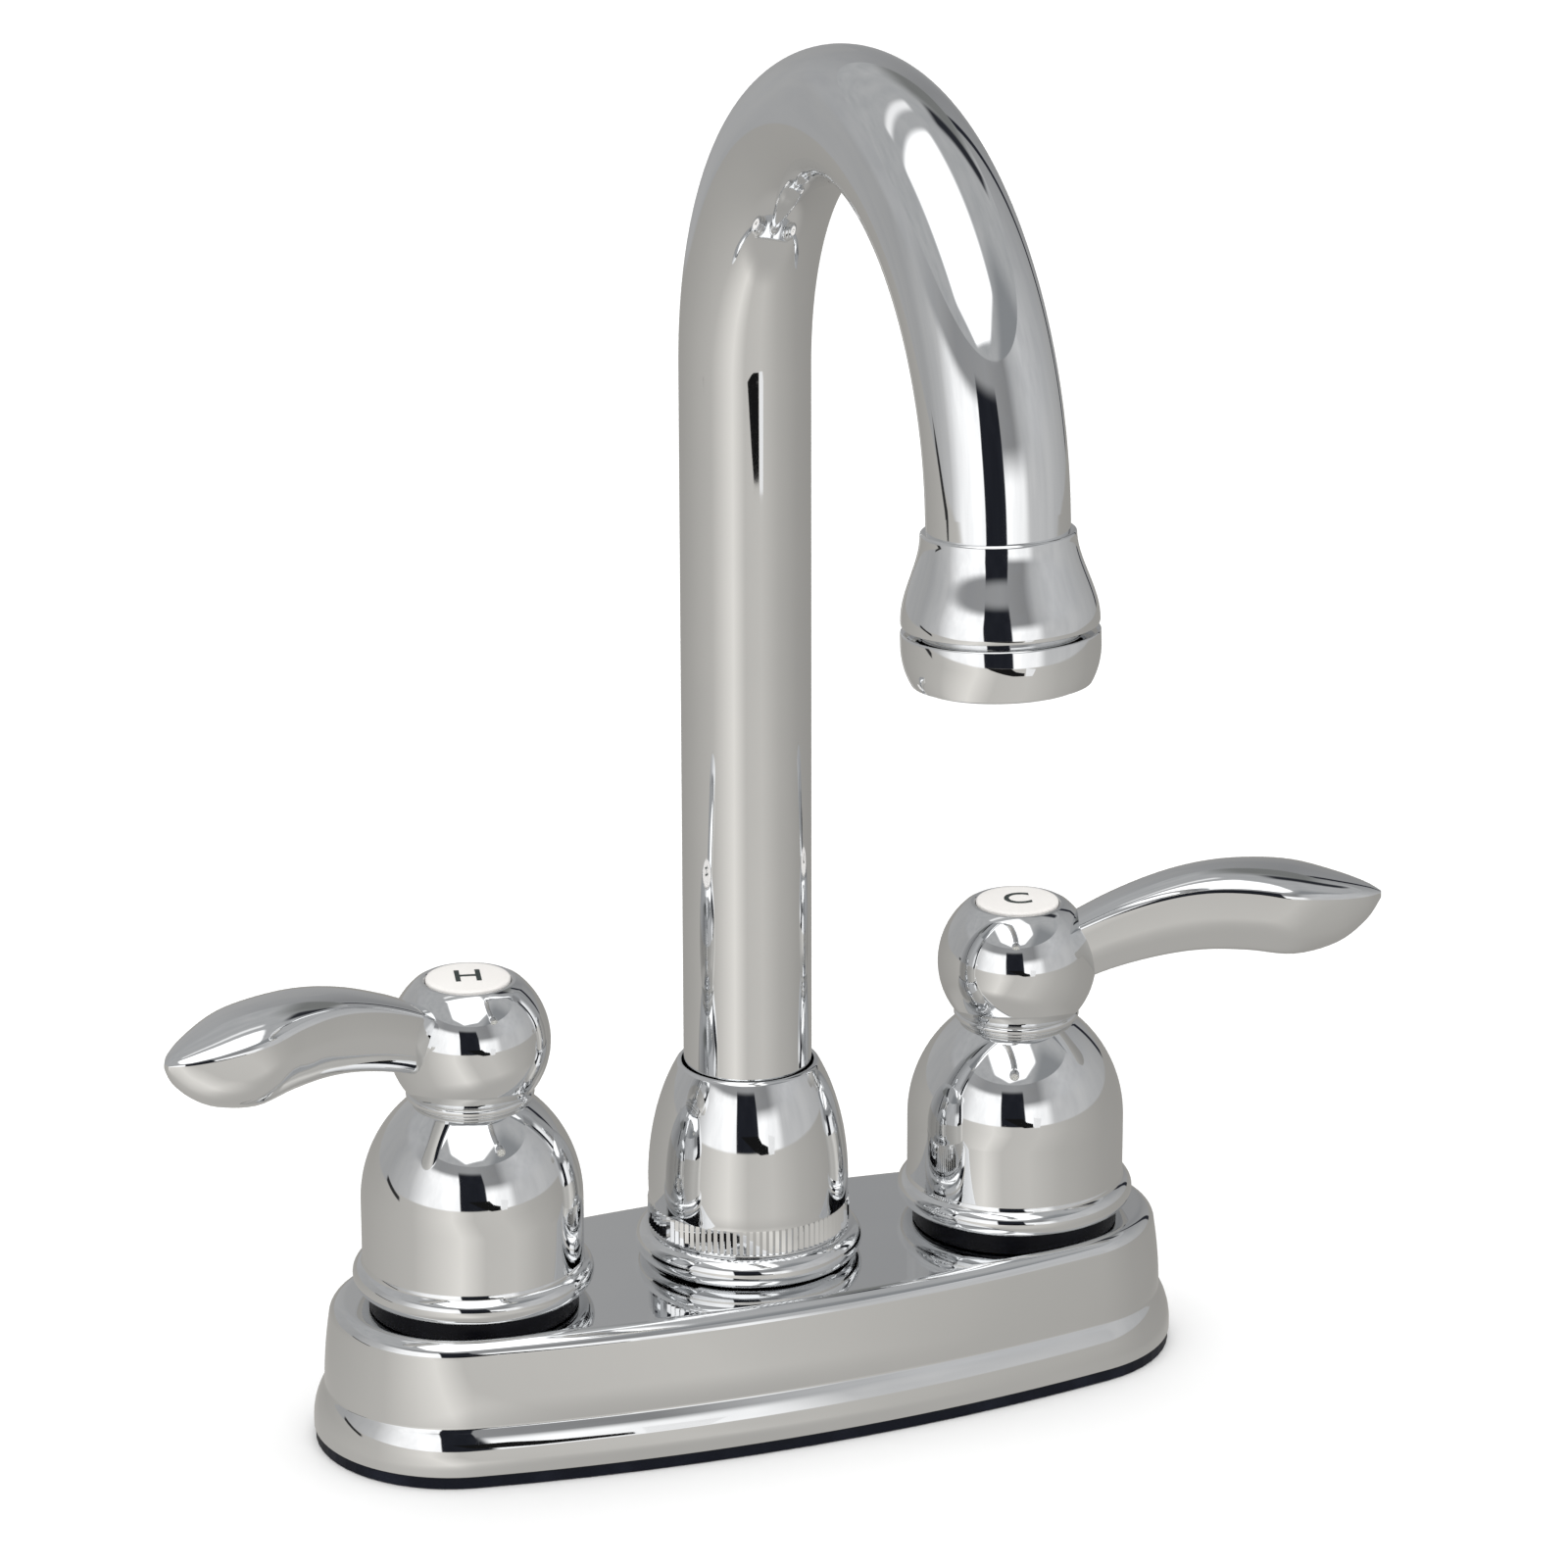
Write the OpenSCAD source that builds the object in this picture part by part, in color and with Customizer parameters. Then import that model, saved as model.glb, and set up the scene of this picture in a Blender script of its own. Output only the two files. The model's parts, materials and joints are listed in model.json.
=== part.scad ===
// Two-handle gooseneck bar faucet on a 4 inch centreset base.
// Millimetres, +Z up. The origin is the middle of the base's underside, where it meets the
// sink deck, on the axis that the spout turns about. The user stands at -Y, hot is at -X.
// The deck gasket, the base cover and everything below the cover's top follow the base; the
// handles and the spout stand on the cover's top face.

/* [Base] */
// Distance between the hot and cold valve axes (4 inches)
valve_spacing = 101.6; // [98:0.2:106]
// Length of the base cover at its foot
base_length = 158.1; // [156:0.2:168]
// Width of the base cover at its foot, across the middle
base_width = 59.4; // [56:0.2:64]
// Radius of the round ends of the base cover
base_end_r = 24.6; // [24:0.1:26]
// Height of the base cover's top above the sink deck
base_height = 25.2; // [24.4:0.2:32]
// Thickness of the rubber gasket under the base
gasket_t = 1.9; // [1.2:0.1:2.5]
// Wall thickness of the base cover
cover_wall = 2; // [1.5:0.1:2.5]

/* [Handles] */
// Radius of the straight wall of each handle bell
bell_r = 19.1; // [18.6:0.1:21]
// Radius of the ball on top of each bell
ball_r = 13.9; // [13.2:0.1:15]
// Height of the ball's centre above the cover's top
ball_h = 46.6; // [45:0.2:50]
// Length of a lever from the valve axis to its tip
lever_length = 63.7; // [58:0.1:76]
// Angle that a closed lever points towards the user, from straight sideways
lever_angle = 20.6; // [0:0.2:30]
// Radius of the white index button
button_r = 7.3; // [6.8:0.1:7.6]

/* [Spout] */
// Outer diameter of the spout tube (7/8 inch)
tube_d = 22.2; // [21.6:0.1:22.4]
// Wall thickness of the spout tube
tube_wall = 1; // [0.8:0.1:1.4]
// Radius of the arch, to the middle of the tube
arch_r = 52.8; // [45:0.2:80]
// Height where the arch starts, above the sink deck
arch_z = 185.2; // [150:0.2:240]
// Angle that the arch turns through
arch_sweep = 175.5; // [160:0.5:180]
// Largest radius of the aerator ring at the outlet
aerator_r = 15.4; // [15:0.1:16.5]
// Number of ribs in the knurled band of the spout nut
knurl_count = 96; // [60:4:120]

/* [Mounting] */
// Outer diameter of the threaded shanks (1/2 inch pipe thread)
shank_d = 20.9; // [20:0.1:21.4]
// Bore through each shank
shank_bore_d = 12.7; // [11:0.1:14]
// Length of the shanks below the sink deck
shank_length = 50; // [46:1:70]
// Thickness of the sink deck that the nuts are set for
deck_thickness = 12; // [6:0.5:16]

/* [Hidden] */
$fn = 64;

CHROME = [0.80, 0.80, 0.79];
BRASS = [0.80, 0.66, 0.34];
BLACK = [0.09, 0.09, 0.10];
PORCELAIN = [0.95, 0.94, 0.91];
CERAMIC = [0.93, 0.93, 0.95];
NYLON = [0.88, 0.87, 0.82];
STEEL = [0.66, 0.67, 0.69];

HOT = -1;
COLD = 1;
eps = 0.01;          // pieces of one solid run into each other by this much
run_gap = 0.1;       // flat faces that slide on each other
journal_gap = 0.05;  // a shaft in its hole, on the radius

// Base outline: two round ends joined by long bowed sides, all tangent to each other.
end_x = base_length / 2 - base_end_r;
half_w = base_width / 2;
bow_r = (end_x * end_x + half_w * half_w - base_end_r * base_end_r) / (2 * (half_w - base_end_r));
bow_y = bow_r - half_w;
bow_angle = atan(end_x / bow_y);
valve_x = valve_spacing / 2;
END_STEPS = 24;  // straight steps round each end of the outline
BOW_STEPS = 12;  // and along each bowed side

// Base cover section, as [distance out from the foot's outline, height].
foot_r = 9.4;        // rounding of the foot, from its upright face up to the crease
foot_top = 4.4;
wall_in = 2;
wall_taper = 1;
top_round = 3;
cover_lining = wall_in + wall_taper + cover_wall + 0.15;
ceiling = base_height - cover_wall - 0.2;

// Waterway casting.
housing_r = 13.5;
housing_top = base_height + 5.6;
hub_r = 14;
hub_thread_r = 13.6;
hub_top = base_height + 13.3;
chamber_r = 10.2;
chamber_floor = 7;
orifice_r = 4.2;
cross_z = 14.5;
cross_r = 6.4;
cross_bore_r = 4.2;
hub_bore_r = tube_d / 2 - 2.25;
hub_floor = 9;
shank_r = shank_d / 2;
relief_r = shank_r - 0.8;
supply_thread = 16;  // lowest stretch of the shank, for the supply nut
relief_length = 4;

// Washers and nuts below the deck.
washer_t = 1.6;
washer_r = 17.5;
nut_height = 9;
nut_flange_t = 2;
nut_across = 27;

// Cartridge, bottom to top.
seal_t = 2;
disc_t = 3;
disc_r = 8.2;
port_in = 2.6;
port_out = 6.4;
port_angle = 70;
fixed_z = chamber_floor + seal_t;
moving_z = fixed_z + disc_t;
foot_z = moving_z + disc_t;
foot_t = 3;
drive_w = 3;
drive_h = 1.2;
cup_r = 9.2;
window_z = moving_z + 1.5;
window_h = 6;
cup_top = foot_z + foot_t + run_gap;
journal_r = 4.9;
neck_r = 7.2;
neck_top = base_height + 19.6;
hex_across = 22;
hex_h = 5;
body_ring_z = housing_top - 4.5;
spline_r = 4;
spline_root_r = 3.7;
spline_teeth = 20;
stem_ring_z = [neck_top - 9, neck_top - 5];
clip_in_r = 4;
stem_shoulder = neck_top + 1;
stem_top = stem_shoulder + 14;

// Handle section, heights above the cover's top.
glide_h = 1.6;
rim_h = glide_h + 0.3;
rim_bead_r = 2.5;
rim_r = bell_r + 1.7;
bell_h = 17.8;
bell_wall = 1.8;
neck_bead_r = 11;
neck_bead_h = ball_h - 9.4;
neck_groove_r = 10;
dome_h = neck_bead_h - 1.2 - bell_h;
dome_inset = bell_r - neck_groove_r - 0.16;
dome_r = (dome_h * dome_h + dome_inset * dome_inset) / (2 * dome_inset);
dome_in = dome_r - bell_r;
ball_flat_h = ball_h + 11;
cavity_top = 26.8;
boss_r = 7.5;
screw_seat_h = stem_top - base_height + 4;
recess_depth = 2.2;
screw_r = 2.1;
stud_r = 3;
stud_in = 7.5;

// Lever stations along its length: [share of the length from the valve axis, height of the
// crease above the ball's centre, width, depth below the crease].
LEVER = [
    [0.14, 6.2, 8.8, 10.8],
    [0.26, 9.9, 10.4, 11.2],
    [0.39, 12.9, 12.0, 11.8],
    [0.51, 14.5, 13.4, 12.2],
    [0.63, 14.7, 15.2, 12.4],
    [0.76, 13.8, 16.6, 12.2],
    [0.88, 12.9, 12.0, 9.4],
    [0.96, 12.4, 6.4, 5.0],
    [1.00, 12.2, 1.2, 1.0]
];
LEVER_STEPS = 4;      // rings between two stations
LEVER_SIDES = 12;     // points along the top face, and as many round the underside
crown_share = 0.22;   // crown of the top face, as a share of the width
belly_power = 2.6;    // how square the underside is

// Spout.
tube_r = tube_d / 2;
tube_bore = tube_r - tube_wall;
flange_z = hub_top + 1 + run_gap;
flange_t = 3.4;
flange_r = 12.6;
flange_out_r = 19.85;
tube_z = flange_z + flange_t;
spigot_h = 9;
tail_z = cross_z + 5.1;
tail_bore_r = hub_bore_r - 3.05;
ring_r = 0.8;         // section radius of the spout's O-rings
tail_r = hub_bore_r - journal_gap;
tail_ring_z = [tail_z + 4.5, tail_z + 11.5];
groove_r = tail_r - 2 * ring_r + 0.02;
nut_z = base_height + 5.3;
nut_shoulder = tube_z + run_gap + 0.9;
nut_foot_r = 17.3;
nut_foot_h = 0.6;
knurl_r = 17.65;
knurl_depth = 0.35;
knurl_h = 5.1;
nut_wide_r = 17.45;   // the nut's curve is part of an ellipse, widest here
nut_wide_z = nut_z + 8.5;
nut_rise = 30.6;      // height of the ellipse above its widest place
nut_shoulder_r = 1;
nut_shoulder_z = base_height + 35.3;
nut_mouth_r = tube_r + 0.35;
torus_r = (nut_z - base_height) / 2;  // section radius of the ring below the nut

// Outlet, distances along the tube's axis from the end of the arch.
outlet_y = -arch_r * (1 - cos(arch_sweep));
outlet_z = arch_z + arch_r * sin(arch_sweep);
spigot_l = 3;
spigot_r = tube_bore - 0.2;
spigot_bore_r = tube_bore - 1.3;
collar_start = 3.4;
collar_round = 0.5;
collar_top_r = tube_r + 0.9;
collar_end = 18;
thread_start = 9;
ring_start = 18.9;
ring_end = 27.7;
aerator_thread_r = 12.4;
neck_start = 11;

// An arc of n steps as [r, z] points.
function arc(cx, cz, r, a0, a1, n = 10) =
    [for (i = [0:n]) let (a = a0 + (a1 - a0) * i / n) [cx + r * cos(a), cz + r * sin(a)]];

function smooth(t) = t * t * (3 - 2 * t);

// Catmull-Rom value at t in [0, 1] between b and c.
function blend(a, b, c, d, t) =
    b + 0.5 * t * (c - a + t * (2 * a - 5 * b + 4 * c - d + t * (3 * (b - c) + d - a)));

module ring(r_in, r_out, z0, z1) {
    translate([0, 0, z0])
        linear_extrude(z1 - z0)
            difference() {
                circle(r_out);
                circle(r_in);
            }
}

module rod(r, z0, z1) {
    translate([0, 0, z0])
        cylinder(h = z1 - z0, r = r);
}

module o_ring(r_mid, r_section, z) {
    translate([0, 0, z])
        rotate_extrude()
            translate([r_mid, 0])
                circle(r_section);
}

module at_valve(side) {
    translate([side * valve_x, 0, 0])
        children();
}

module on_cover() {
    translate([0, 0, base_height])
        children();
}

// Points of the base outline, moved outwards by off, from the end at +X round to it again.
function outline(off) = [
    for (q = [0:3])
        let (
            on_end = q % 2 == 0,
            cx = q == 0 ? end_x : q == 2 ? -end_x : 0,
            cy = q == 1 ? -bow_y : q == 3 ? bow_y : 0,
            r = (on_end ? base_end_r : bow_r) + off,
            middle = 90 * q,
            reach = on_end ? 90 - bow_angle : bow_angle,
            steps = on_end ? END_STEPS : BOW_STEPS
        )
        for (i = [0:steps - 1])
            let (a = middle + reach * (2 * i / steps - 1))
                [cx + r * cos(a), cy + r * sin(a)]
];

// The base outline swept up a section given as [offset from the outline, height] points.
module outline_form(section) {
    n = 2 * (END_STEPS + BOW_STEPS);
    top = (len(section) - 1) * n;
    points = [for (s = section) for (p = outline(s[0])) [p[0], p[1], s[1]]];
    walls = [for (i = [0:len(section) - 2]) for (j = [0:n - 1])
        let (a = i * n + j, b = i * n + (j + 1) % n) [a, a + n, b + n, b]];
    polyhedron(points, concat(walls, [[for (j = [0:n - 1]) j]], [[for (j = [n - 1:-1:0]) top + j]]));
}

module deck_gasket() {
    color(BLACK)
        difference() {
            linear_extrude(gasket_t)
                polygon(outline(-0.25));
            for (side = [HOT, COLD])
                at_valve(side)
                    rod(shank_r + 0.8, -1, gasket_t + 1);
        }
}

module deck_cover() {
    section = concat(
        [[0, gasket_t]],
        arc(-foot_r, foot_top, foot_r, 0, acos(1 - wall_in / foot_r), 6),
        arc(-wall_in - wall_taper - top_round, base_height - top_round, top_round, 0, 90, 6)
    );
    color(CHROME)
        difference() {
            outline_form(section);
            translate([0, 0, gasket_t - 1])
                linear_extrude(ceiling - gasket_t + 1)
                    polygon(outline(-cover_lining));
            for (side = [HOT, COLD])
                at_valve(side)
                    rod(housing_r + 0.4, ceiling - 1, base_height + 1);
            rod(hub_r + 0.4, ceiling - 1, base_height + 1);
        }
}

// One brass casting: two valve housings with their shanks, the cross passage and the hub.
module waterway_body() {
    color(BRASS)
        difference() {
            union() {
                for (side = [HOT, COLD])
                    at_valve(side) {
                        rod(housing_r, gasket_t, housing_top);
                        rod(shank_r, -shank_length, gasket_t + eps);
                    }
                rod(hub_r, gasket_t, base_height + 0.4);
                rod(hub_thread_r, gasket_t, hub_top);
                translate([-valve_x, 0, cross_z])
                    rotate([0, 90, 0])
                        rod(cross_r, 0, valve_spacing);
            }
            for (side = [HOT, COLD])
                at_valve(side) {
                    rod(chamber_r, chamber_floor, housing_top + 1);
                    rod(orifice_r, 0, chamber_floor + 1);
                    rod(shank_bore_d / 2, -shank_length - 1, chamber_floor - 2.5);
                    ring(relief_r, shank_r + 1, -shank_length + supply_thread,
                        -shank_length + supply_thread + relief_length);
                }
            rod(hub_bore_r, hub_floor, hub_top + 1);
            translate([-valve_x, 0, cross_z])
                rotate([0, 90, 0])
                    rod(cross_bore_r, 0, valve_spacing);
        }
}

module mounting_washers() {
    color(STEEL)
        for (side = [HOT, COLD])
            at_valve(side)
                ring(shank_r + 0.3, washer_r, -deck_thickness - washer_t, -deck_thickness);
}

module mounting_nuts() {
    top = -deck_thickness - washer_t;
    color(BRASS)
        for (side = [HOT, COLD])
            at_valve(side)
                difference() {
                    union() {
                        rod(washer_r - 1, top - nut_flange_t, top);
                        translate([0, 0, top - nut_height])
                            cylinder(h = nut_height, r = nut_across / 2 / cos(30), $fn = 6);
                    }
                    rod(shank_r + journal_gap, top - nut_height - 1, top + 1);
                }
}

// Black plastic ring that the bell turns on.
module glide_ring(side) {
    color(BLACK)
        at_valve(side)
            on_cover()
                ring(housing_r + 0.4, bell_r - 1, 0, glide_h);
}

module seat_seal(side) {
    color(BLACK)
        at_valve(side)
            ring(orifice_r, disc_r, chamber_floor, fixed_z);
}

// Two opposite ports through a ceramic disc.
module disc_ports(turn) {
    for (half = [0, 180])
        rotate([0, 0, turn + half - port_angle / 2])
            rotate_extrude(angle = port_angle)
                translate([port_in, -1])
                    square([port_out - port_in, disc_t + 2]);
}

module fixed_disc(side) {
    color(CERAMIC)
        at_valve(side)
            translate([0, 0, fixed_z])
                difference() {
                    rod(disc_r, 0, disc_t);
                    disc_ports(0);
                }
}

// Closed, its ports stand a quarter turn from those of the fixed disc.
module moving_disc(side) {
    color(CERAMIC)
        at_valve(side)
            translate([0, 0, moving_z])
                difference() {
                    rod(disc_r, 0, disc_t - run_gap / 2);
                    disc_ports(90);
                    translate([-disc_r - 1, -drive_w / 2, disc_t - drive_h - 0.1])
                        cube([2 * disc_r + 2, drive_w, drive_h + 1]);
                }
}

module cartridge_housing(side) {
    color(BRASS)
        at_valve(side)
            difference() {
                union() {
                    rod(cup_r, fixed_z, housing_top);
                    rod(chamber_r - journal_gap, cup_top, housing_top);
                    translate([0, 0, housing_top])
                        cylinder(h = hex_h, r = hex_across / 2 / cos(30), $fn = 6);
                    rod(neck_r, housing_top, neck_top);
                }
                rod(disc_r + journal_gap, fixed_z - 1, cup_top);
                rod(journal_r + journal_gap, fixed_z, neck_top + 1);
                for (a = [45, 135])
                    rotate([0, 0, a])
                        translate([-cup_r - 1, -3, window_z])
                            cube([2 * cup_r + 2, 6, window_h]);
                ring(chamber_r - 1.5, chamber_r + 1, body_ring_z - 1, body_ring_z + 1);
            }
}

module body_o_ring(side) {
    color(BLACK)
        at_valve(side)
            o_ring(chamber_r - 0.75, 0.74, body_ring_z);
}

// Turned stem with a drive bar below, two O-ring grooves, a clip groove and a splined top.
module stem(side) {
    color(BRASS)
        at_valve(side)
            difference() {
                union() {
                    translate([0, 0, foot_z - drive_h])
                        linear_extrude(drive_h + eps)
                            intersection() {
                                circle(disc_r - 0.2);
                                square([2 * disc_r, drive_w - 0.1], center = true);
                            }
                    rod(disc_r, foot_z, foot_z + foot_t);
                    rod(journal_r, foot_z, stem_shoulder);
                    translate([0, 0, stem_shoulder - eps])
                        linear_extrude(stem_top - stem_shoulder)
                            polygon([for (i = [0:2 * spline_teeth - 1])
                                let (a = 180 * i / spline_teeth, r = i % 2 == 0 ? spline_r : spline_root_r)
                                [r * cos(a), r * sin(a)]]);
                }
                for (z = stem_ring_z)
                    ring(journal_r - 1.2, journal_r + 1, z - 0.8, z + 0.8);
                ring(clip_in_r, journal_r + 1, neck_top + 0.1, neck_top + 0.9);
                rod(screw_r, stem_shoulder, stem_top + 1);
            }
}

module stem_o_rings(side) {
    color(BLACK)
        at_valve(side)
            for (z = stem_ring_z)
                o_ring(journal_r - 0.6, 0.6, z);
}

// Spring clip that holds the stem down in the cartridge.
module stem_clip(side) {
    color(STEEL)
        at_valve(side)
            translate([0, 0, neck_top + 0.15])
                rotate([0, 0, 125])
                    rotate_extrude(angle = 290)
                        translate([clip_in_r, 0])
                            square([2.4, 0.7]);
}

// Bell, neck and ball in one piece, hollow below and bored for the stem, screw and button.
module handle(side) {
    neck_dome = asin(dome_h / dome_r);
    ball_from = asin((neck_bead_h + 1 - ball_h) / ball_r);
    ball_to = asin((ball_flat_h - 0.6 - ball_h) / ball_r);
    outer = concat(
        [[0, rim_h]],
        arc(rim_r - rim_bead_r, rim_h + rim_bead_r, rim_bead_r, -90, 66, 10),
        [[bell_r, rim_h + 2 * rim_bead_r + 0.6]],
        arc(-dome_in, bell_h, dome_r, 0, neck_dome, 14),
        [[neck_groove_r, neck_bead_h - 1]],
        arc(neck_bead_r - 0.8, neck_bead_h, 0.8, -70, 70, 5),
        arc(0, ball_h, ball_r, ball_from, ball_to, 18),
        [[button_r + 0.7, ball_flat_h], [0, ball_flat_h]]
    );
    cavity_angle = asin((cavity_top - bell_h) / (dome_r - bell_wall));
    cavity = concat(
        [[0, rim_h - 1], [bell_r - bell_wall, rim_h - 1]],
        arc(-dome_in, bell_h, dome_r - bell_wall, 0, cavity_angle, 8),
        [[0, cavity_top]]
    );
    color(CHROME)
        at_valve(side)
            on_cover()
                difference() {
                    union() {
                        difference() {
                            rotate_extrude() polygon(outer);
                            rotate_extrude() polygon(cavity);
                        }
                        rod(boss_r, stem_shoulder - base_height, cavity_top + 1);
                    }
                    rod(spline_r + journal_gap, stem_shoulder - base_height - 1, stem_top - base_height + 0.2);
                    rod(screw_r + 0.3, stem_shoulder - base_height, screw_seat_h + 1);
                    rod(5, screw_seat_h, ball_flat_h + 1);
                    rod(button_r + 0.1, ball_flat_h - recess_depth, ball_flat_h + 1);
                    translate([0, 0, ball_h])
                        along_lever(side)
                            rod(stud_r + journal_gap, stud_in - 0.5, ball_r + 1);
                }
}

// Turns local +Z to point out along a lever.
module along_lever(side) {
    rotate([0, 0, side == COLD ? -lever_angle : 180 + lever_angle])
        rotate([0, 90, 0])
            children();
}

// Lever values [share, crease, width, depth] at step i of the whole loft.
function lever_at(i) =
    let (
        last = len(LEVER) - 1,
        k = min(floor(i / LEVER_STEPS), last - 1),
        t = i / LEVER_STEPS - k,
        a = LEVER[max(k - 1, 0)],
        d = LEVER[min(k + 2, last)]
    ) blend(a, LEVER[k], LEVER[k + 1], d, t);

// Ring of points round the lever: a crowned top face between two creases, and a full underside.
function lever_ring(s) = [
    for (j = [0:2 * LEVER_SIDES - 1])
        let (
            a = 180 * j / LEVER_SIDES,
            c = cos(a),
            rise = j <= LEVER_SIDES
                ? crown_share * s[2] * sin(a)
                : -s[3] * pow(1 - pow(abs(c), belly_power), 1 / belly_power)
        ) [s[0] * lever_length, c * s[2] / 2, s[1] + rise]
];

module lever(side) {
    rings = LEVER_STEPS * (len(LEVER) - 1);
    n = 2 * LEVER_SIDES;
    points = [for (i = [0:rings]) for (p = lever_ring(lever_at(i))) p];
    walls = [for (i = [0:rings - 1]) for (j = [0:n - 1])
        let (a = i * n + j, b = i * n + (j + 1) % n) each [[a, b + n, b], [a, a + n, b + n]]];
    caps = [[for (j = [0:n - 1]) j], [for (j = [n - 1:-1:0]) rings * n + j]];
    color(CHROME)
        at_valve(side)
            translate([0, 0, base_height + ball_h]) {
                difference() {
                    rotate([0, 0, side == COLD ? -lever_angle : 180 + lever_angle])
                        polyhedron(points, concat(walls, caps));
                    sphere(ball_r + 0.02);
                }
                along_lever(side)
                    rod(stud_r, stud_in, ball_r + 2);
            }
}

module index_button(side) {
    seat = ball_flat_h - recess_depth;
    color(PORCELAIN)
        at_valve(side)
            on_cover()
                rotate_extrude()
                    polygon(concat(
                        [[0, screw_seat_h + 4], [4.8, screw_seat_h + 4], [4.8, seat], [button_r, seat],
                            [button_r, ball_flat_h - 0.1]],
                        arc(button_r - 0.5, ball_flat_h - 0.1, 0.5, 0, 80, 4),
                        [[0, ball_flat_h + 0.6]]
                    ));
}

module handle_screw(side) {
    color(STEEL)
        at_valve(side)
            on_cover()
                difference() {
                    union() {
                        rod(4.4, screw_seat_h, screw_seat_h + 3);
                        rod(screw_r, screw_seat_h - 13, screw_seat_h + 1);
                    }
                    translate([0, 0, screw_seat_h + 1])
                        cylinder(h = 3, r = 2, $fn = 6);
                }
}

module spout_flange_ring() {
    color(CHROME)
        on_cover()
            rotate_extrude()
                polygon(concat(
                    [[hub_r + 0.3, 0]],
                    arc(flange_out_r - torus_r, torus_r, torus_r, -90, 90, 12),
                    [[hub_r + 0.3, 2 * torus_r]]
                ));
}

// Radius of the nut's curve at a height.
function nut_curve(z) = nut_wide_r * sqrt(1 - pow((z - nut_wide_z) / nut_rise, 2));

// Bell-shaped nut: a fine knurled band below, then a long curve up to the tube.
module spout_nut() {
    curve_z = nut_z + knurl_h;
    steps = 14;
    shoulder_in = nut_curve(nut_shoulder_z);
    shoulder_a = atan2((nut_shoulder_z - nut_wide_z) / pow(nut_rise, 2), shoulder_in / pow(nut_wide_r, 2));
    shoulder_x = shoulder_in - nut_shoulder_r * cos(shoulder_a);
    shoulder_y = nut_shoulder_z - nut_shoulder_r * sin(shoulder_a);
    curve = [for (i = [0:steps - 1])
        let (z = curve_z - 0.4 + (nut_shoulder_z - curve_z + 0.4) * i / steps)
        [nut_curve(z), z]];
    color(CHROME)
        difference() {
            union() {
                rotate_extrude()
                    polygon(concat(
                        [[0, nut_z], [nut_foot_r - 0.3, nut_z], [nut_foot_r, nut_z + 0.3],
                            [nut_foot_r, nut_z + nut_foot_h]],
                        [[nut_foot_r - 0.1, nut_z + nut_foot_h], [nut_foot_r - 0.1, curve_z - 0.4]],
                        curve,
                        arc(shoulder_x, shoulder_y, nut_shoulder_r, shoulder_a, 90, 5),
                        [[0, shoulder_y + nut_shoulder_r]]
                    ));
                translate([0, 0, nut_z + nut_foot_h])
                    linear_extrude(knurl_h - nut_foot_h)
                        polygon([for (i = [0:2 * knurl_count - 1])
                            let (a = 180 * i / knurl_count, r = knurl_r - (i % 2) * knurl_depth)
                            [r * cos(a), r * sin(a)]]);
            }
            rod(hub_thread_r + journal_gap, nut_z - 1, nut_shoulder);
            rod(nut_mouth_r, nut_z, nut_shoulder_z + 2);
        }
}

module spout_bearing_washer() {
    color(NYLON)
        ring(hub_bore_r + 0.1, 13, hub_top, hub_top + 1);
}

module spout_retaining_washer() {
    color(NYLON)
        ring(nut_mouth_r, 13.3, nut_shoulder - 0.9, nut_shoulder);
}

// Puts local +Z along the tube's axis, pointing out of its end.
module at_outlet() {
    translate([0, outlet_y, outlet_z])
        rotate([arch_sweep, 0, 0])
            children();
}

// Straight riser and arch, at one radius, both drawn from the same circle about the arch's axis.
module spout_run(r) {
    translate([0, -arch_r, arch_z])
        rotate([90, 0, 90]) {
            rotate([90, 0, 0])
                linear_extrude(arch_z - tube_z)
                    translate([arch_r, 0])
                        circle(r);
            rotate_extrude(angle = arch_sweep)
                translate([arch_r, 0])
                    circle(r);
        }
}

module spout_tube() {
    color(CHROME)
        difference() {
            spout_run(tube_r);
            spout_run(tube_bore);
        }
}

// Brass tail of the spout: a spigot in the tube, a flange and a journal with two grooves.
module spout_tail() {
    color(BRASS)
        difference() {
            union() {
                rod(tail_r, tail_z, flange_z + eps);
                rod(flange_r, flange_z, tube_z);
                rod(tube_bore - 0.02, tube_z - eps, tube_z + spigot_h);
            }
            for (z = tail_ring_z)
                ring(groove_r, tail_r + 1, z - 1.1, z + 1.1);
            rod(tail_bore_r, tail_z - 1, tube_z + spigot_h + 1);
        }
}

module spout_o_rings() {
    color(BLACK)
        for (z = tail_ring_z)
            o_ring(groove_r + ring_r, ring_r, z);
}

// Flared fitting at the outlet: its spigot is brazed into the tube and its neck carries on
// the tube's own radius.
module outlet_collar() {
    steps = 12;
    collar_flare = collar_start + collar_round;
    flare = [for (i = [0:steps]) let (t = i / steps)
        [collar_top_r + (aerator_r - 0.1 - collar_top_r) * smooth(t),
            collar_flare + (collar_end - 0.8 - collar_flare) * t]];
    color(CHROME)
        at_outlet()
            rotate_extrude()
                polygon(concat(
                    [[spigot_bore_r, -spigot_l], [spigot_r, -spigot_l], [spigot_r, 0], [tube_r, 0],
                        [tube_r, collar_start]],
                    arc(collar_top_r - collar_round, collar_flare, collar_round, -90, -15, 3),
                    flare,
                    [[aerator_r - 0.1, collar_end - 0.3], [aerator_r - 0.4, collar_end],
                        [aerator_thread_r + 0.1, collar_end], [aerator_thread_r + 0.1, thread_start],
                        [spigot_bore_r, thread_start]]
                ));
}

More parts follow.
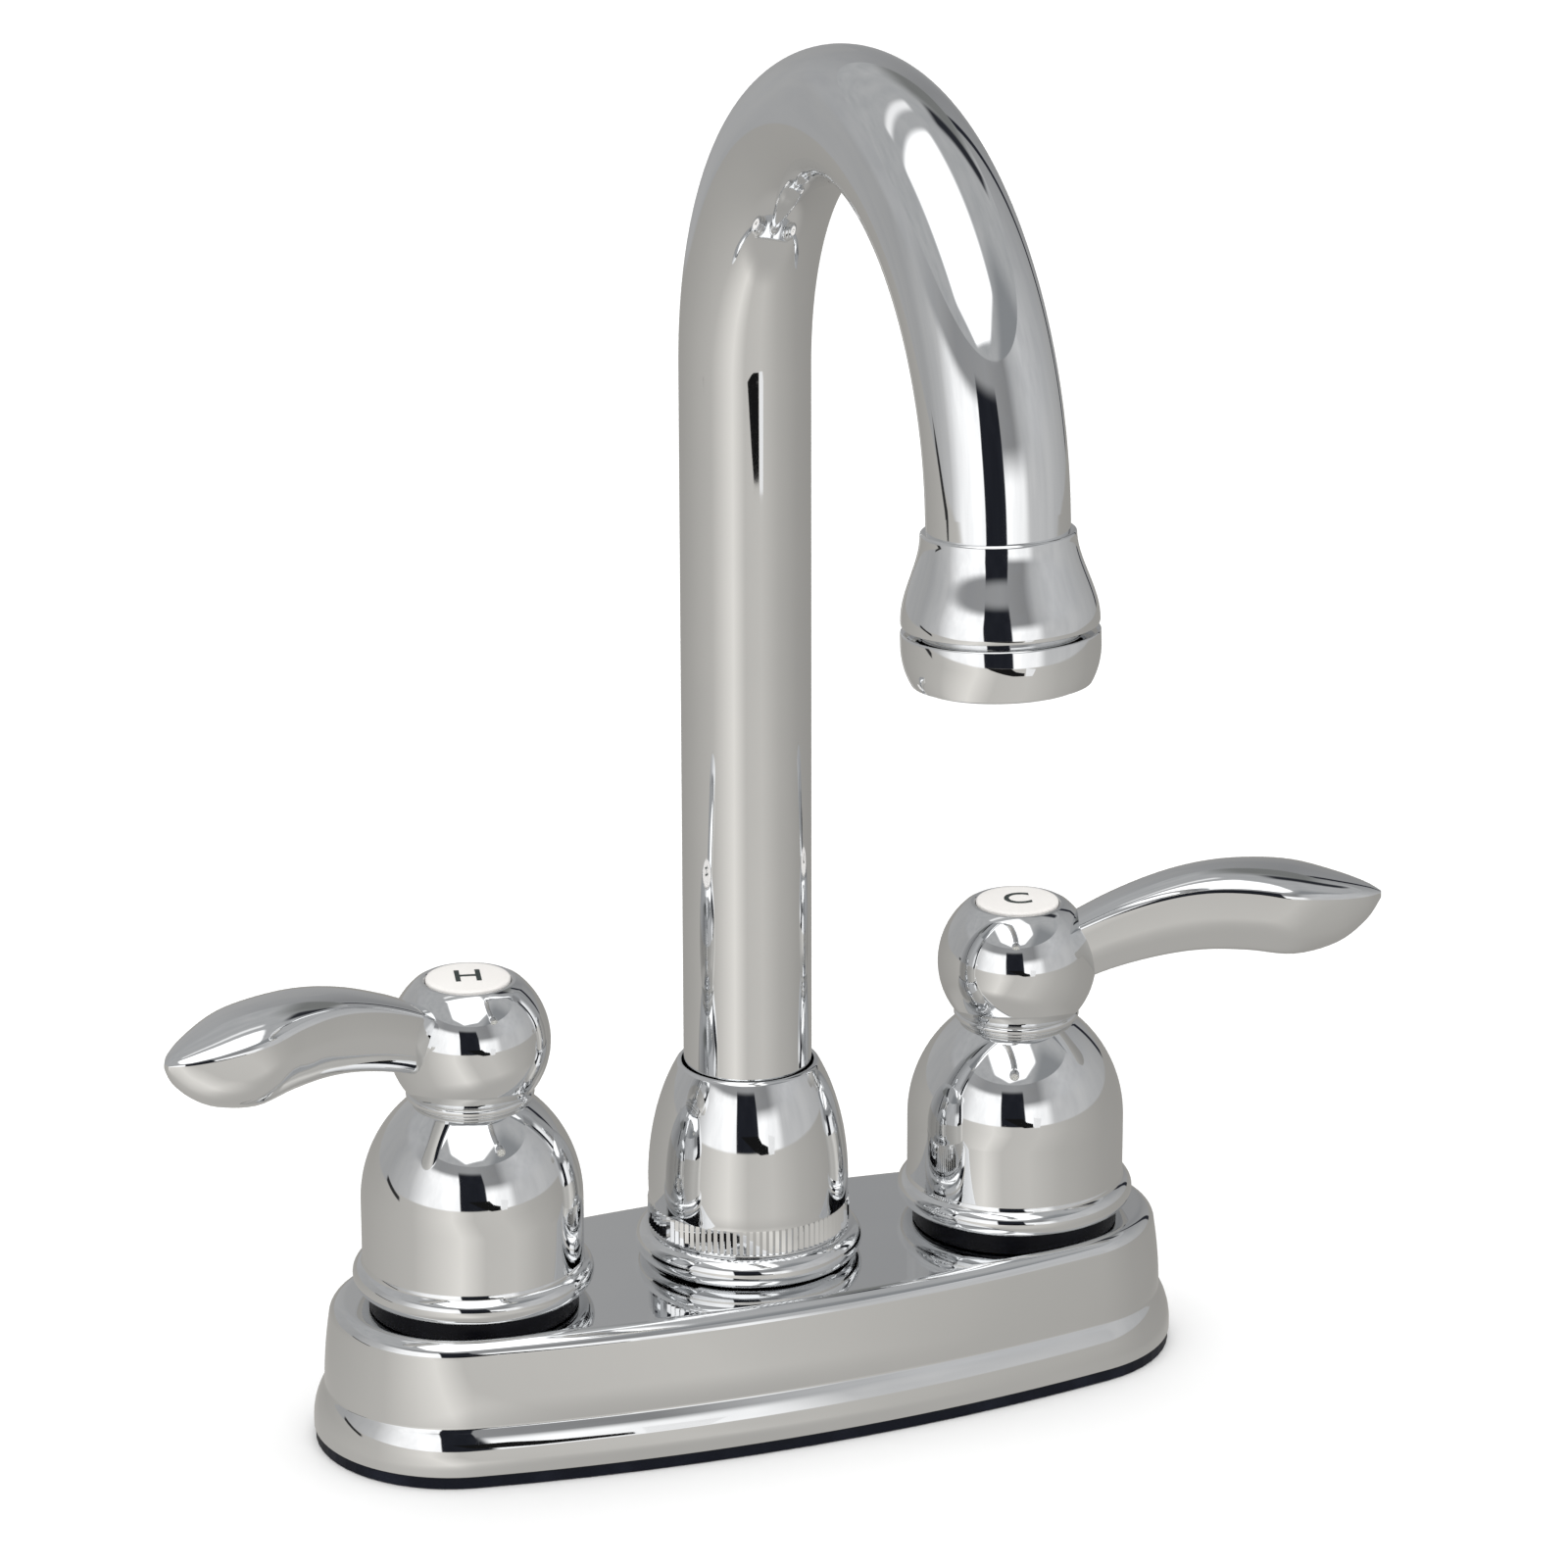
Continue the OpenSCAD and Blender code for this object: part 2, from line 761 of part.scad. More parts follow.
module aerator_ring() {
    color(CHROME)
        at_outlet()
            rotate_extrude()
                polygon(concat(
                    [[11.3, neck_start], [aerator_thread_r, neck_start], [aerator_thread_r, ring_start],
                        [aerator_r - 0.3, ring_start], [aerator_r, ring_start + 0.3]],
                    arc(aerator_r - 12, ring_start + 2.4, 12, 0, 29, 8),
                    arc(aerator_r - 3.2, ring_end - 1.2, 1.2, 20, 90, 5),
                    [[10.2, ring_end], [10.2, ring_end - 1.2], [11.3, ring_end - 1.2]]
                ));
}

// Plastic insert that mixes air into the stream, with a plate of holes at its outlet.
module aerator_insert() {
    plate = ring_end - 4.6;
    color(NYLON)
        at_outlet()
            difference() {
                rod(11.2, neck_start + 0.2, ring_end - 1.3);
                rod(9.6, neck_start - 1, plate);
                rod(1, plate - 1, ring_end);
                for (row = [[6, 3.4], [12, 6.8]])
                    for (i = [0:row[0] - 1])
                        rotate([0, 0, 360 * i / row[0]])
                            translate([row[1], 0, 0])
                                rod(1, plate - 1, ring_end);
            }
}

module aerator_washer() {
    color(BLACK)
        at_outlet()
            ring(8.4, aerator_thread_r - 0.1, thread_start, neck_start);
}

deck_gasket();
deck_cover();
waterway_body();
mounting_washers();
mounting_nuts();
glide_ring(HOT);  // hot_glide_ring
glide_ring(COLD);  // cold_glide_ring
seat_seal(HOT);  // hot_seat_seal
seat_seal(COLD);  // cold_seat_seal
fixed_disc(HOT);  // hot_fixed_disc
fixed_disc(COLD);  // cold_fixed_disc
cartridge_housing(HOT);  // hot_cartridge_housing
cartridge_housing(COLD);  // cold_cartridge_housing
body_o_ring(HOT);  // hot_body_o_ring
body_o_ring(COLD);  // cold_body_o_ring
spout_flange_ring();
spout_nut();
spout_bearing_washer();
spout_retaining_washer();
handle(HOT);  // hot_handle
handle(COLD);  // cold_handle
lever(HOT);  // hot_lever
lever(COLD);  // cold_lever
index_button(HOT);  // hot_index_button
index_button(COLD);  // cold_index_button
handle_screw(HOT);  // hot_handle_screw
handle_screw(COLD);  // cold_handle_screw
stem(HOT);  // hot_stem
stem(COLD);  // cold_stem
stem_clip(HOT);  // hot_stem_clip
stem_clip(COLD);  // cold_stem_clip
moving_disc(HOT);  // hot_moving_disc
moving_disc(COLD);  // cold_moving_disc
stem_o_rings(HOT);  // hot_stem_o_rings
stem_o_rings(COLD);  // cold_stem_o_rings
spout_tube();
spout_tail();
spout_o_rings();
outlet_collar();
aerator_ring();
aerator_insert();
aerator_washer();
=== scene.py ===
# %% [markdown]
# # A chrome gooseneck bar faucet
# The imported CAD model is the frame: it fixes every size, place and joint. This lesson dresses it.
# The chrome pieces are turned, spun and extruded again with smooth surfaces, because polished
# metal shows every flat facet, and the brass, rubber and ceramic pieces keep their CAD shape.

# %% Load the frame
import json
import math

import bpy
from mathutils import Matrix, Vector

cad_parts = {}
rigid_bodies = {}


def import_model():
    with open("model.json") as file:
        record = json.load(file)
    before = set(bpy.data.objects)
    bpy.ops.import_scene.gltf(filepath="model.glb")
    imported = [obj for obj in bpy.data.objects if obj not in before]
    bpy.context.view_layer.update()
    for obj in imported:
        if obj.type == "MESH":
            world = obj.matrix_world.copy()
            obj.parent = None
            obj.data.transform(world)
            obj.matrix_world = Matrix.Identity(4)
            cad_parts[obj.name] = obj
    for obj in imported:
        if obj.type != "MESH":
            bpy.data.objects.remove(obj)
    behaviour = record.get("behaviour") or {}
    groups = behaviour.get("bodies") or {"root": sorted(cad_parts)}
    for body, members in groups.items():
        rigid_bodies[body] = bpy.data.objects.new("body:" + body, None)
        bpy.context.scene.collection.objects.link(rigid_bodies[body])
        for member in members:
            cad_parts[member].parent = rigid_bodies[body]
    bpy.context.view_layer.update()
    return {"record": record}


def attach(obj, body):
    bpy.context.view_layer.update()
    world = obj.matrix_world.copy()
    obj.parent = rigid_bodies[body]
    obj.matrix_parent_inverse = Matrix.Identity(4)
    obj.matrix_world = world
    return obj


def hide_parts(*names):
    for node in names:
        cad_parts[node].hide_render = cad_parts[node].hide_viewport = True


for leftover in list(bpy.data.objects):
    bpy.data.objects.remove(leftover)
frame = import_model()

# %% [markdown]
# ## Sizes
# The lengths below are in millimetres, as on a drawing, and MM turns them into Blender's metres.
# They repeat the driving sizes of the CAD model, so each new piece lands on the piece it replaces.

# %% Sizes
MM = 0.001
VALVE_X = 50.8
BASE_LENGTH = 158.1
BASE_WIDTH = 59.4
BASE_END_R = 24.6
BASE_TOP = 25.2
GASKET_T = 1.9
BELL_R = 19.1
BALL_R = 13.9
BALL_H = 46.6
BUTTON_R = 7.3
LEVER_LENGTH = 63.7
LEVER_ANGLE = 20.6
TUBE_R = 11.1
TUBE_WALL = 1.0
ARCH_R = 52.8
ARCH_Z = 185.2
ARCH_SWEEP = 175.5
AERATOR_R = 15.4
print("base", BASE_LENGTH, "x", BASE_WIDTH, "x", BASE_TOP, "mm, valves", 2 * VALVE_X, "mm apart")

# %% [markdown]
# ## Tools for turned pieces
# Most of this faucet is turned on a lathe, so most of its pieces are made the same way here: a
# chain of points is drawn as half a section, then bpy.ops.mesh.spin carries it round an axis.
# Arcs in the section are worked out, so that highlights run smoothly over them.

# %% Draw a section
def arc(cx, cz, r, start, end, steps=12):
    """Points along an arc of a section, in millimetres, angles in degrees."""
    turn = [math.radians(start + (end - start) * i / steps) for i in range(steps + 1)]
    return [(cx + r * math.cos(a), cz + r * math.sin(a)) for a in turn]


def draw_chain(name, points):
    """One vertex extruded from point to point, left in edit mode with all of it selected."""
    bpy.ops.object.select_all(action="DESELECT")
    bpy.ops.mesh.primitive_plane_add(size=MM, location=(0, 0, 0))
    piece = bpy.context.object
    piece.name = name
    piece.data.name = name
    bpy.ops.object.mode_set(mode="EDIT")
    bpy.ops.mesh.select_all(action="SELECT")
    bpy.ops.mesh.merge(type="CENTER")
    bpy.ops.transform.translate(value=points[0])
    for here, there in zip(points, points[1:]):
        step = Vector(there) - Vector(here)
        bpy.ops.mesh.extrude_vertices_move(TRANSFORM_OT_translate={"value": step})
    bpy.ops.mesh.select_all(action="SELECT")
    return piece


def close_up(piece, sharp=40):
    """Joins doubled points, turns the faces outwards and shades the piece smooth."""
    bpy.ops.mesh.select_all(action="SELECT")
    bpy.ops.mesh.remove_doubles(threshold=0.002 * MM)
    bpy.ops.mesh.normals_make_consistent(inside=False)
    bpy.ops.object.mode_set(mode="OBJECT")
    bpy.ops.object.shade_smooth_by_angle(angle=math.radians(sharp))
    print(piece.name, len(piece.data.polygons), "faces")
    return piece


def turned(name, section, steps=128):
    """A half section of (r, z) points in millimetres, spun round the Z axis."""
    piece = draw_chain(name, [(r * MM, 0, z * MM) for r, z in section])
    bpy.ops.mesh.spin(steps=steps, angle=2 * math.pi, center=(0, 0, 0), axis=(0, 0, 1))
    return close_up(piece)


def select_only_rim():
    """Selects the open edges of the piece in edit mode."""
    bpy.ops.mesh.select_all(action="DESELECT")
    bpy.ops.mesh.select_non_manifold()


quarter = arc(0, 0, 4, 0, 90, 3)
print("quarter arc of 4 mm", [(round(r, 2), round(z, 2)) for r, z in quarter])

# %% [markdown]
# ## Materials
# Shader maths reads better as sums, so a small class wraps a socket: adding or multiplying two
# of them adds a Math node. Every other node comes from one method that takes its type, settings
# and inputs.

# %% A material builder
class Wire:
    """A socket's value that can be used in an expression."""

    def __init__(self, maker, socket):
        self.maker = maker
        self.socket = socket

    def math(self, operation, *values):
        """A Math node of these values."""
        return self.maker.node("ShaderNodeMath", {"operation": operation}, *values)

    def __add__(self, other):
        return self.math("ADD", self, other)

    def __radd__(self, other):
        return self.math("ADD", other, self)

    def __sub__(self, other):
        return self.math("SUBTRACT", self, other)

    def __rsub__(self, other):
        return self.math("SUBTRACT", other, self)

    def __mul__(self, other):
        return self.math("MULTIPLY", self, other)

    def __rmul__(self, other):
        return self.math("MULTIPLY", other, self)

    def __truediv__(self, other):
        return self.math("DIVIDE", self, other)

    def __abs__(self):
        return self.math("ABSOLUTE", self)


class Maker:
    """Adds nodes to one node tree."""

    def __init__(self, tree):
        self.tree = tree
        tree.nodes.clear()

    def node(self, kind, settings=None, *values, out=0, **named):
        """A node of a kind: its settings first, then its inputs by order or by name."""
        node = self.tree.nodes.new(kind)
        for key, value in (settings or {}).items():
            setattr(node, key, value)
        for key, value in list(enumerate(values)) + list(named.items()):
            name = key if isinstance(key, int) else key.replace("_", " ")
            target = node.inputs[name]
            if isinstance(value, Wire):
                self.tree.links.new(value.socket, target)
            else:
                target.default_value = value
        return Wire(self, node.outputs[out]) if len(node.outputs) else node

    def ramp(self, value, *stops):
        """A Color Ramp of (position, colour) stops."""
        node = self.tree.nodes.new("ShaderNodeValToRGB")
        elements = node.color_ramp.elements
        while len(elements) < len(stops):
            elements.new(1)
        for element, (position, colour) in zip(elements, stops):
            element.position = position
            element.color = (*colour, 1)
        self.tree.links.new(value.socket, node.inputs[0])
        return Wire(self, node.outputs[0])

    def smooth(self, value, low, high):
        """0 below low, 1 above high, and a soft step between them."""
        soft = {"interpolation_type": "SMOOTHSTEP"}
        return self.node("ShaderNodeMapRange", soft, value, low, high)

# %% Patterns that the finishes share
MIX_COLOURS = (6, 7)
MIX_RESULT = 2


def new_finish(name):
    """An empty material and the maker of its nodes."""
    material = bpy.data.materials.new(name)
    material.use_nodes = True
    return material, Maker(material.node_tree)


def spots(maker, scale, detail=2.0, stretch=(1, 1, 1)):
    """Noise over the object's own coordinates, scale in waves per metre."""
    place = maker.node("ShaderNodeTexCoord", out="Object")
    place = maker.node("ShaderNodeMapping", {}, place, Scale=stretch)
    return maker.node("ShaderNodeTexNoise", {}, Vector=place, Scale=scale, Detail=detail)


def finish_with(maker, **sockets):
    """Ends a material in a Principled shader."""
    shader = maker.node("ShaderNodeBsdfPrincipled", {}, **sockets)
    maker.node("ShaderNodeOutputMaterial", {}, shader)


def mix(maker, share, a, b):
    """Two colours mixed by a value: a where it is 0 and b where it is 1."""
    node = maker.tree.nodes.new("ShaderNodeMix")
    node.data_type = "RGBA"
    maker.tree.links.new(share.socket, node.inputs[0])
    for slot, colour in zip(MIX_COLOURS, (a, b)):
        if isinstance(colour, Wire):
            maker.tree.links.new(colour.socket, node.inputs[slot])
        else:
            node.inputs[slot].default_value = (*colour, 1)
    return Wire(maker, node.outputs[MIX_RESULT])

# %% [markdown]
# ## Chrome
# Bright chrome plate is a mirror. What stops it from looking computed is that the plate follows
# the polished brass below it, which is never quite flat, and that the mirror carries a faint haze
# from wiping. So a very low bump bends the reflections, and noise moves the roughness a little.

# %% Chrome finish
def make_chrome():
    """Mirror plate with a faint haze, wiping marks and a very low wave."""
    material, maker = new_finish("polished_chrome")
    haze = spots(maker, 55, 4)
    wipe = spots(maker, 420, 3, (1, 1, 0.25))
    wave = spots(maker, 38, 1)
    colour = mix(maker, haze, (0.79, 0.80, 0.81), (0.85, 0.855, 0.86))
    roughness = 0.022 + haze * 0.02 + maker.smooth(wipe, 0.52, 0.78) * 0.035
    bump = maker.node("ShaderNodeBump", {}, Strength=0.12, Distance=0.0004, Height=wave)
    finish_with(maker, Base_Color=colour, Metallic=1.0, Roughness=roughness, Normal=bump)
    return material


chrome = make_chrome()
print(chrome.name, len(chrome.node_tree.nodes), "nodes")

# %% [markdown]
# ## Brass, rubber, plastic, porcelain
# The hidden pieces are bare brass with fine turning marks, black rubber with a bloom of dust,
# moulded plastic with a light grain, and the white buttons are glazed, with a clear coat.

# %% Other finishes
def make_brass():
    """Bare brass with fine turning marks."""
    material, maker = new_finish("machined_brass")
    tone = spots(maker, 90, 4)
    marks = spots(maker, 900, 2, (0.08, 0.08, 1))
    colour = mix(maker, tone, (0.66, 0.46, 0.19), (0.80, 0.60, 0.29))
    bump = maker.node("ShaderNodeBump", {}, Strength=0.25, Distance=0.0001, Height=marks)
    finish_with(maker, Base_Color=colour, Metallic=1.0, Roughness=0.2 + marks * 0.2, Normal=bump)
    return material


def make_rubber(name, dark, light, rough, shine=0.5):
    """A plain soft or moulded material with a light bloom and a fine grain."""
    material, maker = new_finish(name)
    bloom = spots(maker, 160, 5)
    grain = spots(maker, 2600, 2)
    colour = mix(maker, maker.smooth(bloom, 0.4, 0.75), dark, light)
    bump = maker.node("ShaderNodeBump", {}, Strength=0.3, Distance=0.0001, Height=grain)
    finish_with(maker, Base_Color=colour, Roughness=rough + grain * 0.15,
                Specular_IOR_Level=shine, Normal=bump)
    return material


def make_steel():
    """Steel with brushed lines."""
    material, maker = new_finish("brushed_steel")
    lines = spots(maker, 1500, 2, (1, 0.05, 1))
    colour = mix(maker, lines, (0.50, 0.51, 0.53), (0.66, 0.67, 0.69))
    bump = maker.node("ShaderNodeBump", {}, Strength=0.2, Distance=0.0001, Height=lines)
    finish_with(maker, Base_Color=colour, Metallic=1.0, Roughness=0.24 + lines * 0.15, Normal=bump)
    return material


def make_glaze(name, low, high, rough):
    """A glazed or ground ceramic with a clear coat."""
    material, maker = new_finish(name)
    cloud = spots(maker, 120, 3)
    ripple = spots(maker, 300, 1)
    colour = mix(maker, cloud, low, high)
    bump = maker.node("ShaderNodeBump", {}, Strength=0.08, Distance=0.0002, Height=ripple)
    finish_with(maker, Base_Color=colour, Roughness=rough + cloud * 0.08, Coat_Weight=0.6,
                Coat_Roughness=0.04, Normal=bump)
    return material


finishes = {
    "chrome": chrome,
    "brass": make_brass(),
    "steel": make_steel(),
    "black_rubber": make_rubber(
        "black_rubber", (0.003, 0.005, 0.013), (0.009, 0.012, 0.024), 0.42, shine=0.2),
    "black_plastic": make_rubber(
        "black_plastic", (0.003, 0.003, 0.006), (0.007, 0.008, 0.013), 0.3, shine=0.15),
    "nylon": make_rubber("white_nylon", (0.70, 0.69, 0.64), (0.80, 0.79, 0.75), 0.38),
    "porcelain": make_glaze("porcelain", (0.84, 0.81, 0.78), (0.90, 0.88, 0.85), 0.12),
    "disc_ceramic": make_glaze("disc_ceramic", (0.80, 0.81, 0.83), (0.88, 0.88, 0.90), 0.08),
    "ink": make_rubber("dark_ink", (0.012, 0.020, 0.018), (0.03, 0.04, 0.035), 0.35),
}
print("finishes", sorted(finishes))

# %% Give the CAD nodes their finishes
node_slot = {entry["node"]: entry["material_slot"] for entry in frame["record"]["subparts"]}
for node, slot in node_slot.items():
    for cad_piece in [o for o in bpy.data.objects if o.type == "MESH" and o.name == node]:
        cad_piece.data.materials.clear()
        cad_piece.data.materials.append(finishes[slot])
print("CAD nodes with a finish", len(node_slot))


def dress(piece, slot, body, *nodes):
    """Gives a new piece its finish, its body and the nodes that it stands for, if any."""
    piece.data.materials.clear()
    piece.data.materials.append(finishes[slot])
    if nodes:
        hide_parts(*nodes)
    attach(piece, body)
    return piece

# %% [markdown]
# ## Base cover
# The cover is a shell with one section all the way round: a rounded foot, a crease, a wall that
# leans in a little and a soft top edge. Its outline is four arcs that run into each other, so the
# section is spun four times: round one end, along one bowed side, round the other end and back.

# %% Base cover
VALVE_HOLE_R = 13.9
SPOUT_HOLE_R = 14.4
FOOT_R = 12.3
CREASE_IN = 2.0
WALL_Z = 10.45
WALL_H = 11.9
WALL_STEPS = 8
TOP_EDGE_R = 3
END_X = BASE_LENGTH / 2 - BASE_END_R
HALF_W = BASE_WIDTH / 2
BOW_R = (END_X**2 + HALF_W**2 - BASE_END_R**2) / (2 * (HALF_W - BASE_END_R))
BOW_Y = BOW_R - HALF_W
BOW_ANGLE = math.atan2(END_X, BOW_Y)


def swept_round_base(name, section, end_steps=40, bow_steps=24):
    """A section of (offset, z) points, in millimetres, carried once round the base's outline."""
    start = BOW_ANGLE - math.pi / 2
    points = []
    for offset, z in section:
        r = BASE_END_R + offset
        points.append(((END_X + r * math.cos(start)) * MM, r * math.sin(start) * MM, z * MM))
    piece = draw_chain(name, points)
    round_end = math.pi - 2 * BOW_ANGLE
    for centre, angle, steps in (
        ((END_X, 0), round_end, end_steps),
        ((0, -BOW_Y), 2 * BOW_ANGLE, bow_steps),
        ((-END_X, 0), round_end, end_steps),
        ((0, BOW_Y), 2 * BOW_ANGLE, bow_steps),
    ):
        place = (centre[0] * MM, centre[1] * MM, 0)
        bpy.ops.mesh.spin(steps=steps, angle=-angle, center=place, axis=(0, 0, 1))
    return piece


def drill(piece, x, radius, low, high):
    """A round hole through a piece, cut with a Boolean modifier."""
    place = (x * MM, 0, (low + high) / 2 * MM)
    bpy.ops.mesh.primitive_cylinder_add(
        vertices=96, radius=radius * MM, depth=(high - low) * MM, location=place)
    cutter = bpy.context.object
    cut = piece.modifiers.new("hole", "BOOLEAN")
    cut.operation = "DIFFERENCE"
    cut.object = cutter
    bpy.context.view_layer.objects.active = piece
    bpy.ops.object.modifier_apply(modifier="hole")
    bpy.data.objects.remove(cutter)


lining = [(-7.5, 23.0), (-5.6, 23.0), (-5.15, 22.5), (-5.15, GASKET_T)]
foot = [(-0.25, GASKET_T), (0, GASKET_T + 0.25)] + arc(-FOOT_R, 3.4, FOOT_R, 0, 32, 14)
crease = [(-CREASE_IN, 10.2)]
wall = [
    (-CREASE_IN - (i / WALL_STEPS) ** 1.8, WALL_Z + WALL_H * i / WALL_STEPS)
    for i in range(WALL_STEPS + 1)
]
top_edge = arc(-6, BASE_TOP - TOP_EDGE_R, TOP_EDGE_R, 12, 90, 16)
top_edge += [(-6.4, BASE_TOP), (-8, BASE_TOP)]
cover = swept_round_base("base_cover_shell", lining + foot + crease + wall + top_edge)
bpy.ops.mesh.select_all(action="SELECT")
bpy.ops.mesh.remove_doubles(threshold=0.002 * MM)
select_only_rim()
bpy.ops.mesh.fill_holes(sides=0)
close_up(cover)
for x, radius in ((-VALVE_X, VALVE_HOLE_R), (0, SPOUT_HOLE_R), (VALVE_X, VALVE_HOLE_R)):
    drill(cover, x, radius, 20, 30)
bpy.ops.object.shade_smooth_by_angle(angle=math.radians(40))
dress(cover, "chrome", "base", "deck_cover")
print("cover box", [round(v, 4) for v in cover.dimensions])

# %% [markdown]
# ## Handles
# Each handle is one turned piece: a bell with a rounded rim, a dome that runs up to a narrow neck,
# a small bead and a ball with a flat top for the white button. One half section gives all of it,
# and the second handle is a copy with a mesh of its own.

# %% Handles
NECK_H = BALL_H - 9.4
FLAT_H = BALL_H + 11
RECESS_H = FLAT_H - 2.2
RIM_R = 2.5
FILLET_R = 0.55
DOME_IN = 3.9
DOME_Z = 17.8
DOME_R = 23
HOLLOW_R = 21.2
HOLLOW_TOP = 26.8


def slope(height, centre, r):
    """Angle at which an arc of a section reaches a height."""
    return math.degrees(math.asin((height - centre) / r))


def place_at(piece, location, turn=(0, 0, 0)):
    """Moves and turns a piece, and stores the place in its mesh."""
    bpy.ops.object.select_all(action="DESELECT")
    piece.select_set(True)
    bpy.context.view_layer.objects.active = piece
    piece.location = [v * MM for v in location]
    piece.rotation_euler = [math.radians(v) for v in turn]
    bpy.ops.object.transform_apply(location=True, rotation=True, scale=True)
    return piece


def twin(piece, name):
    """A copy with a mesh of its own."""
    copy = piece.copy()
    copy.data = piece.data.copy()
    copy.name = name
    copy.data.name = name
    bpy.context.collection.objects.link(copy)
    return copy


ball_from = slope(NECK_H + 1, BALL_H, BALL_R)
ball_to = slope(FLAT_H - 0.6, BALL_H, BALL_R)
handle_section = (
    [(0, HOLLOW_TOP), (16, HOLLOW_TOP)]
    + arc(-DOME_IN, DOME_Z, HOLLOW_R, slope(HOLLOW_TOP - 0.4, DOME_Z, HOLLOW_R), 0, 8)
    + [(17.3, 2.4), (17.8, 1.9)]
    + arc(18.3, 4.4, RIM_R, -90, 66, 22)
    + arc(BELL_R + FILLET_R, 7.55, FILLET_R, 215, 180, 3)
    + arc(-DOME_IN, DOME_Z, DOME_R, 0, slope(NECK_H - 1.2, DOME_Z, DOME_R), 40)
    + [(10, NECK_H - 1.15), (10, NECK_H - 0.85)]
    + arc(10.2, NECK_H, 0.8, -70, 70, 12)
    + arc(0, BALL_H, BALL_R, ball_from, ball_to, 48)
    + arc(BUTTON_R + 0.75, FLAT_H - 0.45, 0.45, 60, 90, 4)
    + [(BUTTON_R + 0.3, FLAT_H), (BUTTON_R + 0.1, FLAT_H - 0.2), (BUTTON_R + 0.1, RECESS_H)]
    + [(0, RECESS_H)]
)
handle = turned("hot_handle_bell_and_ball", handle_section, 144)
handles = {"hot": handle, "cold": twin(handle, "cold_handle_bell_and_ball")}
for side, piece in handles.items():
    x = -VALVE_X if side == "hot" else VALVE_X
    place_at(piece, (x, 0, BASE_TOP))
    dress(piece, "chrome", side + "_handle_assembly", side + "_handle")

# %% [markdown]
# ## Levers
# A lever leaves the ball thin, swells into a flat blade and ends round, with a sharp crease along
# each side of its top face. No turned or extruded form has that, so it is lofted: one section after
# another is drawn as a ring and the rings are bridged. A curve through a few stations gives
# the sections between them.

# %% Levers
STATIONS = [
    (0.14, 6.2, 8.8, 10.8), (0.26, 9.9, 10.4, 11.2), (0.39, 12.9, 12.0, 11.8),
    (0.51, 14.5, 13.4, 12.2), (0.63, 14.7, 15.2, 12.4), (0.76, 13.8, 16.6, 12.2),
    (0.88, 12.9, 12.0, 9.4), (0.96, 12.4, 6.4, 5.0), (1.00, 12.2, 1.2, 1.0),
]
RINGS_PER_STATION = 5
HALF_RING = 14
CROWN = 0.22
BELLY_POWER = 2.6


def station(step):
    """Catmull-Rom value of the stations: share of the length, crease height, width and depth."""
    last = len(STATIONS) - 1
    k = min(step // RINGS_PER_STATION, last - 1)
    t = step / RINGS_PER_STATION - k
    a, b = STATIONS[max(k - 1, 0)], STATIONS[k]
    c, d = STATIONS[k + 1], STATIONS[min(k + 2, last)]
    return [
        q + 0.5 * t * (r - p + t * (2 * p - 5 * q + 4 * r - s + t * (3 * (q - r) + s - p)))
        for p, q, r, s in zip(a, b, c, d)
    ]


def lever_ring(step):
    """Points round one section: a crowned top face, then a full underside."""
    share, crease, width, depth = station(step)
    points = []
    for i in range(2 * HALF_RING):
        angle = math.pi * i / HALF_RING
        side = math.cos(angle)
        rise = CROWN * width * math.sin(angle)
        if i > HALF_RING:
            rise = -depth * (1 - abs(side) ** BELLY_POWER) ** (1 / BELLY_POWER)
        points.append((share * LEVER_LENGTH * MM, side * width / 2 * MM, (crease + rise) * MM))
    return points


rings = []
for step in range(RINGS_PER_STATION * (len(STATIONS) - 1) + 1):
    rings.append(draw_chain("ring", lever_ring(step)))
    bpy.ops.mesh.edge_face_add()
    bpy.ops.mesh.delete(type="ONLY_FACE")
    bpy.ops.object.mode_set(mode="OBJECT")
for ring in rings:
    ring.select_set(True)
bpy.ops.object.join()
lever = bpy.context.object
lever.name = "cold_lever_blade"
bpy.ops.object.mode_set(mode="EDIT")
bpy.ops.mesh.select_all(action="SELECT")
bpy.ops.mesh.bridge_edge_loops()
select_only_rim()
bpy.ops.mesh.fill_holes(sides=0)
close_up(lever, 38)
levers = {"cold": lever, "hot": twin(lever, "hot_lever_blade")}
for side, piece in levers.items():
    x, turn = (-VALVE_X, 180 + LEVER_ANGLE) if side == "hot" else (VALVE_X, -LEVER_ANGLE)
    place_at(piece, (x, 0, BASE_TOP + BALL_H), (0, 0, turn))
    dress(piece, "chrome", side + "_handle_assembly", side + "_lever")

# %% [markdown]
# ## Index buttons
# A white glazed button closes each ball. It is turned with a slight crown and a soft edge, and a
# plain flat letter in dark ink lies on it, H on the left and C on the right.

